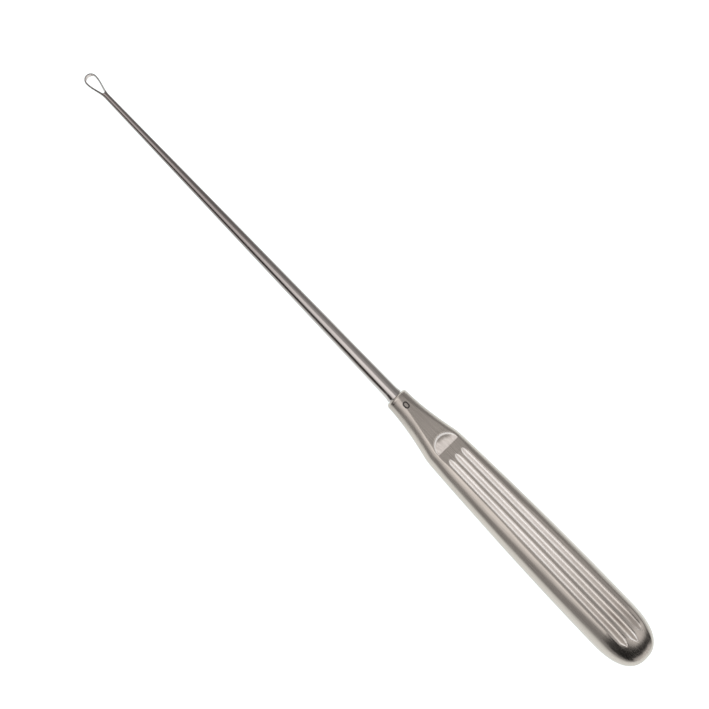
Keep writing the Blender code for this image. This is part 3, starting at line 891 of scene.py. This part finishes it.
def size_mark(tree, place):
    """Where the size mark lies: one etched ring on the upper side of the neck, like a plain nought."""
    axes = tree.nodes.new("ShaderNodeSeparateXYZ")
    tree.links.new(place, axes.inputs[0])
    along = add_math(tree, "SUBTRACT", axes.outputs["X"], COLLAR_X - MARK_BEHIND_COLLAR)
    across = add_math(tree, "SUBTRACT", axes.outputs["Y"], MARK_Y)
    straight = (MARK_LENGTH - MARK_WIDTH) / 2
    past_straight = add_math(tree, "SUBTRACT", add_math(tree, "ABSOLUTE", along), straight)
    beyond = add_math(tree, "MAXIMUM", past_straight, 0)
    squares = add_math(tree, "MULTIPLY_ADD", across, across, add_math(tree, "MULTIPLY", beyond, beyond))
    radius = (MARK_WIDTH - MARK_STROKE) / 2
    off_line = add_math(tree, "ABSOLUTE", add_math(tree, "SUBTRACT", add_math(tree, "SQRT", squares), radius))
    ring = add_map(tree, off_line, MARK_STROKE / 2 - MARK_BLUR, MARK_STROKE / 2 + MARK_BLUR, 1, 0)
    upper = add_math(tree, "GREATER_THAN", axes.outputs["Z"], 0)
    return add_math(tree, "MULTIPLY", ring, upper)


def bright_steel():
    """The shaft and the loop: turned and polished, darker and a little rougher towards the loop, with a
    painted highlight on the ground edge inside the loop's tip.
    """
    material, tree, shader, place, brushing, wear = new_steel("bright_steel")
    axes = tree.nodes.new("ShaderNodeSeparateXYZ")
    tree.links.new(place, axes.inputs[0])
    towards_loop = add_map(tree, axes.outputs["X"], *LOOP_COLOUR_RUN)
    streaks = add_map(tree, brushing, *BRUSHING_RANGE)
    root = add_mix(tree, streaks, SHAFT_DARK, SHAFT_PALE)
    colour = add_mix(tree, towards_loop, root, LOOP_COLOUR)
    # The ground edge is matt and coloured nearly white, a painted highlight
    bevel_highlight = add_mask(tree, "bevel_highlight")
    tree.links.new(add_mix(tree, bevel_highlight, colour, BEVEL_HIGHLIGHT_COLOUR), shader.inputs["Base Color"])
    tree.links.new(add_math(tree, "SUBTRACT", 1, bevel_highlight), shader.inputs["Metallic"])
    turned = add_map(tree, axes.outputs["X"], *LOOP_COLOUR_RUN, BRIGHT_ROUGHNESS, LOOP_ROUGHNESS)
    polished = add_math(tree, "MULTIPLY_ADD", wear, WEAR_ROUGHNESS, turned)
    rough = add_math(tree, "MULTIPLY_ADD", bevel_highlight, MATT_ROUGHNESS - BRIGHT_ROUGHNESS, polished)
    tree.links.new(rough, shader.inputs["Roughness"])
    return material


# The studio


def floor():
    """White to the camera, graded across the tool in reflections, with the tool's faint shadow on it."""
    bpy.ops.mesh.primitive_plane_add(size=FLOOR_SIZE)
    plane = bpy.context.object
    plane.name = "floor"
    material = bpy.data.materials.new("white_floor")
    material.use_nodes = True
    tree = material.node_tree
    shader = tree.nodes["Principled BSDF"]
    shader.inputs["Base Color"].default_value = (*FLOOR_COLOUR, 1)
    shader.inputs["Roughness"].default_value = 1
    shader.inputs["Specular IOR Level"].default_value = 0
    shader.inputs["Emission Color"].default_value = (*FLOOR_GLOW, 1)
    path = tree.nodes.new("ShaderNodeLightPath")
    coordinates = tree.nodes.new("ShaderNodeTexCoord")
    axes = tree.nodes.new("ShaderNodeSeparateXYZ")
    tree.links.new(coordinates.outputs["Object"], axes.inputs[0])
    narrow = add_map(tree, axes.outputs["X"], *FLOOR_NARROW_RUN, 1, FLOOR_NARROW_SHARE)
    near = add_map(tree, axes.outputs["Y"], *FLOOR_NEAR, *FLOOR_NEAR_LEVELS)
    narrowed = add_math(tree, "MULTIPLY", axes.outputs["Y"], narrow)
    far = add_map(tree, narrowed, *FLOOR_FAR, *FLOOR_FAR_LEVELS)
    mirrored = add_math(tree, "ADD", path.outputs["Is Glossy Ray"], path.outputs["Is Transmission Ray"])
    white = add_math(tree, "MULTIPLY", add_math(tree, "MINIMUM", near, far), mirrored)
    shown = add_math(tree, "ADD", white, path.outputs["Is Camera Ray"])
    tree.links.new(shown, shader.inputs["Emission Strength"])
    plane.data.materials.append(material)


def dark_card():
    """A dark card that stands beside the shaft on its +y side, seen only as a reflection."""
    (x0, y0, z0), (x1, y1, z1) = CARD_FROM, CARD_TO
    mesh = bpy.data.meshes.new("dark_card")
    mesh.from_pydata([(x0, y0, z0), (x1, y1, z0), (x1, y1, z1), (x0, y0, z1)], [], [(0, 1, 2, 3)])
    card = bpy.data.objects.new("dark_card", mesh)
    bpy.context.scene.collection.objects.link(card)
    material = bpy.data.materials.new("dark_card")
    material.use_nodes = True
    shader = material.node_tree.nodes["Principled BSDF"]
    shader.inputs["Base Color"].default_value = (*CARD_COLOUR, 1)
    shader.inputs["Roughness"].default_value = 1
    shader.inputs["Specular IOR Level"].default_value = 0
    mesh.materials.append(material)
    card.visible_camera = False
    card.visible_shadow = False
    card.visible_diffuse = False


def sky():
    """The studio round the tool: grey overhead, bright panels, and dark gaps between them."""
    world = bpy.data.worlds.new("studio")
    bpy.context.scene.world = world
    world.use_nodes = True
    tree = world.node_tree
    coordinates = tree.nodes.new("ShaderNodeTexCoord")
    axes = tree.nodes.new("ShaderNodeSeparateXYZ")
    tree.links.new(coordinates.outputs["Generated"], axes.inputs[0])
    x, y, z = axes.outputs
    side = add_math(tree, "ARCTAN2", y, z)
    height = add_math(tree, "SQRT", add_math(tree, "MULTIPLY_ADD", y, y, add_math(tree, "MULTIPLY", z, z)))
    rear = add_math(tree, "ARCTAN2", add_math(tree, "MULTIPLY", x, -1), height)
    level = SKY_LEVEL
    for panel_level, side_range, rear_range, soft in STUDIO_PANELS:
        across = add_band(tree, side, *side_range, soft)
        along = add_band(tree, rear, *rear_range, soft)
        share = add_math(tree, "MULTIPLY", across, along)
        change = add_math(tree, "SUBTRACT", panel_level, level)
        level = add_math(tree, "MULTIPLY_ADD", share, change, level)
    tree.links.new(level, tree.nodes["Background"].inputs["Color"])


def add_band(tree, value, low, high, soft):
    """One inside a range of angles, given in degrees, and nothing outside it."""
    low, high, soft = (math.radians(angle) for angle in (low, high, soft))
    rising = add_map(tree, value, low - soft, low + soft)
    falling = add_map(tree, value, high - soft, high + soft, 1, 0)
    return add_math(tree, "MULTIPLY", rising, falling)


def fill_lamp():
    """A large soft lamp overhead, which matt surfaces show and polished ones don't mirror."""
    data = bpy.data.lights.new("fill", "AREA")
    data.size = FILL_SIZE
    data.energy = FILL_LEVEL * math.pi * FILL_SIZE**2
    lamp = bpy.data.objects.new("fill", data)
    bpy.context.scene.collection.objects.link(lamp)
    lamp.location = (0, 0, FILL_HEIGHT)
    lamp.visible_camera = False
    lamp.visible_glossy = False


def camera():
    """Looks straight at the tool's axis from above, leaning towards its +y, at the photograph's turn."""
    across = Vector((0, -math.cos(VIEW_ROLL), math.sin(VIEW_ROLL)))
    along = Vector((1, 0, 0))
    right = -along * math.cos(PICTURE_TURN) + across * math.sin(PICTURE_TURN)
    up = along * math.sin(PICTURE_TURN) + across * math.cos(PICTURE_TURN)
    back = right.cross(up)
    data = bpy.data.cameras.new("camera")
    data.sensor_width = SENSOR_WIDTH
    data.lens = SENSOR_WIDTH * CAMERA_DISTANCE / PICTURE_WIDTH
    eye = bpy.data.objects.new("camera", data)
    bpy.context.scene.collection.objects.link(eye)
    turn = Matrix((right, up, back)).transposed().to_4x4()
    place = Vector((PICTURE_CENTRE_X, 0, 0)) + back * CAMERA_DISTANCE
    eye.matrix_world = TOOL @ Matrix.Translation(place) @ turn
    bpy.context.scene.camera = eye


def main():
    make_handle()
    make_shaft()
    floor()
    dark_card()
    sky()
    fill_lamp()
    camera()
    bpy.context.scene.view_settings.view_transform = "Standard"


main()
